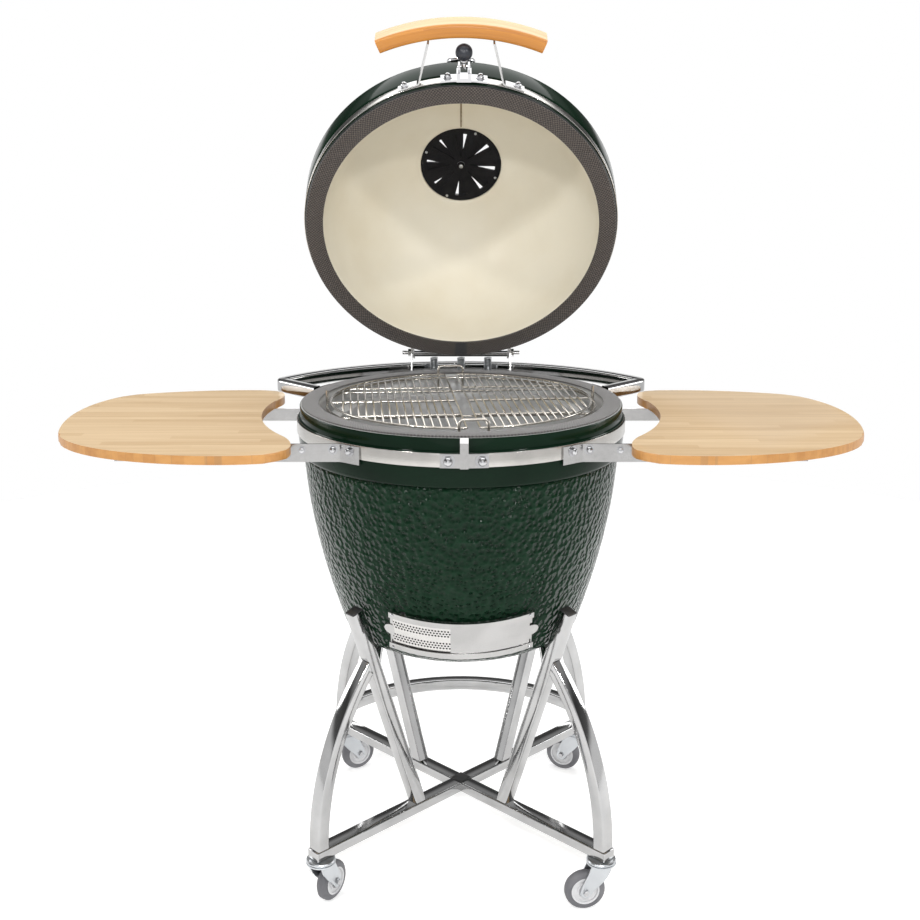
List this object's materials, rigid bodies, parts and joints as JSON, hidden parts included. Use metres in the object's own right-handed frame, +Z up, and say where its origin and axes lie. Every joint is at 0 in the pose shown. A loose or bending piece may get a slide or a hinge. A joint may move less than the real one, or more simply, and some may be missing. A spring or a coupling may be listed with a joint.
{
  "type": "kamado charcoal grill",
  "caption": "Egg-shaped ceramic charcoal grill with a hinged domed lid, folding bamboo side shelves and a wheeled stainless stand.",
  "frame": {"origin": "on the floor under the middle of the grill's box, lid open and shelves out", "axes": "+X to the right as seen from the front, -Y to the front where the draft door is, +Z up"},
  "size_m": [1.4268, 0.7799, 1.5748],
  "materials": {
    "glaze": "dark green gloss glaze, dimpled on the base",
    "ceramic": "unglazed light ceramic",
    "felt": "woven felt gasket",
    "steel": "polished stainless steel",
    "iron": "black cast iron",
    "bamboo": "laminated bamboo, oiled",
    "chrome": "polished",
    "zinc": "zinc plated",
    "tyre": "grey rubber tread on a light plastic hub"
  },
  "bodies": {
    "grill": {"base_band": "steel", "base_bowl": "glaze", "base_gasket": "felt", "charcoal_grate": "iron", "cradle_upright_front_left": "steel", "cradle_upright_front_right": "steel", "cradle_upright_rear_left": "steel", "cradle_upright_rear_right": "steel", "cross_frame": "steel", "curved_leg_front_left": "steel", "curved_leg_front_right": "steel", "curved_leg_rear_left": "steel", "curved_leg_rear_right": "steel", "draft_frame": "steel", "fire_box": "ceramic", "fire_ring": "ceramic", "hinge_base_bracket": "steel", "hinge_spring_left": "steel", "hinge_spring_middle": "steel", "hinge_spring_right": "steel", "latch_striker": "steel", "rear_arc_rail": "steel", "rear_push_bar": "steel", "shelf_bracket_left_front": "steel", "shelf_bracket_left_rear": "steel", "shelf_bracket_right_front": "steel", "shelf_bracket_right_rear": "steel", "side_rail_left": "steel", "side_rail_right": "steel"},
    "lid": {"lid_dome": "glaze", "lid_gasket": "felt", "lid_band": "steel", "lid_handle": "bamboo", "handle_arm_left": "steel", "handle_arm_right": "steel", "hinge_lid_bracket": "steel", "latch_bracket": "chrome", "thermometer": "steel", "vent_collar": "iron"},
    "vent_wheel": {"daisy_wheel": "iron"},
    "latch": {"latch_lever": "chrome"},
    "draft_door_panel": {"draft_door": "steel"},
    "draft_screen_panel": {"draft_screen": "steel"},
    "rack": {"grate_rack": "steel"},
    "grate_left": {"grate_half_left": "steel"},
    "grate_right": {"grate_half_right": "steel"},
    "shelf_left_leaf": {"shelf_left": "bamboo", "shelf_arm_left_front": "steel", "shelf_arm_left_rear": "steel"},
    "shelf_right_leaf": {"shelf_right": "bamboo", "shelf_arm_right_front": "steel", "shelf_arm_right_rear": "steel"},
    "fork_front_left": {"caster_fork_front_left": "zinc"},
    "wheel_front_left": {"caster_wheel_front_left": "tyre"},
    "fork_front_right": {"caster_fork_front_right": "zinc"},
    "wheel_front_right": {"caster_wheel_front_right": "tyre"},
    "fork_rear_left": {"caster_fork_rear_left": "zinc"},
    "wheel_rear_left": {"caster_wheel_rear_left": "tyre"},
    "fork_rear_right": {"caster_fork_rear_right": "zinc"},
    "wheel_rear_right": {"caster_wheel_rear_right": "tyre"}
  },
  "joints": [
    {"name": "lid_hinge", "type": "hinge", "parent": "grill", "child": "lid", "pos_m": [0, 0.2651, 0.9325], "axis": [1, 0, 0], "range_deg": [0, 62.7], "deforming": ["hinge_spring_left", "hinge_spring_middle", "hinge_spring_right"]},
    {"name": "vent_turn", "type": "hinge", "parent": "lid", "child": "vent_wheel", "pos_m": [0, 0.32476, 1.31438], "axis": [0, 0.8889, 0.4582], "range_deg": [-14, 8.5]},
    {"name": "latch_swing", "type": "hinge", "parent": "lid", "child": "latch", "pos_m": [0.005, -0.03936, 1.49232], "axis": [1, 0, 0], "range_deg": [0, 70]},
    {"name": "draft_door_slide", "type": "hinge", "parent": "grill", "child": "draft_door_panel", "pos_m": [0, -0.04054, 0.60811], "axis": [0, -0.342, 0.9397], "range_deg": [-21, 0]},
    {"name": "draft_screen_slide", "type": "hinge", "parent": "grill", "child": "draft_screen_panel", "pos_m": [0, -0.04054, 0.60811], "axis": [0, -0.342, 0.9397], "range_deg": [0, 21]},
    {"name": "rack_lift", "type": "slide", "parent": "grill", "child": "rack", "axis": [0, 0, -1], "range_m": [-0.25, 0]},
    {"name": "grate_left_lift", "type": "slide", "parent": "rack", "child": "grate_left", "axis": [0, 0, -1], "range_m": [-0.15, 0]},
    {"name": "grate_right_lift", "type": "slide", "parent": "rack", "child": "grate_right", "axis": [0, 0, -1], "range_m": [-0.15, 0]},
    {"name": "shelf_left_fold", "type": "hinge", "parent": "grill", "child": "shelf_left_leaf", "pos_m": [-0.3085, -0.047, 0.8505], "axis": [0, -1, 0], "range_deg": [0, 90]},
    {"name": "shelf_right_fold", "type": "hinge", "parent": "grill", "child": "shelf_right_leaf", "pos_m": [0.3085, -0.047, 0.8505], "axis": [0, 1, 0], "range_deg": [0, 90]},
    {"name": "caster_swivel_front_left", "type": "hinge", "parent": "grill", "child": "fork_front_left", "pos_m": [-0.25597, -0.30297, 0.0997], "axis": [0, 0, 1], "continuous": true},
    {"name": "caster_spin_front_left", "type": "hinge", "parent": "fork_front_left", "child": "wheel_front_left", "pos_m": [-0.24097, -0.27699, 0.0375], "axis": [0.866, -0.5, 0], "continuous": true},
    {"name": "caster_swivel_front_right", "type": "hinge", "parent": "grill", "child": "fork_front_right", "pos_m": [0.25597, -0.30297, 0.0997], "axis": [0, 0, 1], "continuous": true},
    {"name": "caster_spin_front_right", "type": "hinge", "parent": "fork_front_right", "child": "wheel_front_right", "pos_m": [0.22626, -0.30715, 0.0375], "axis": [-0.1392, 0.9903, 0], "continuous": true},
    {"name": "caster_swivel_rear_left", "type": "hinge", "parent": "grill", "child": "fork_rear_left", "pos_m": [-0.25597, 0.20897, 0.0997], "axis": [0, 0, 1], "continuous": true},
    {"name": "caster_spin_rear_left", "type": "hinge", "parent": "fork_rear_left", "child": "wheel_rear_left", "pos_m": [-0.23053, 0.22487, 0.0375], "axis": [0.5299, -0.848, 0], "continuous": true},
    {"name": "caster_swivel_rear_right", "type": "hinge", "parent": "grill", "child": "fork_rear_right", "pos_m": [0.25597, 0.20897, 0.0997], "axis": [0, 0, 1], "continuous": true},
    {"name": "caster_spin_rear_right", "type": "hinge", "parent": "fork_rear_right", "child": "wheel_rear_right", "pos_m": [0.22857, 0.22118, 0.0375], "axis": [0.4067, 0.9135, 0], "continuous": true}
  ]
}
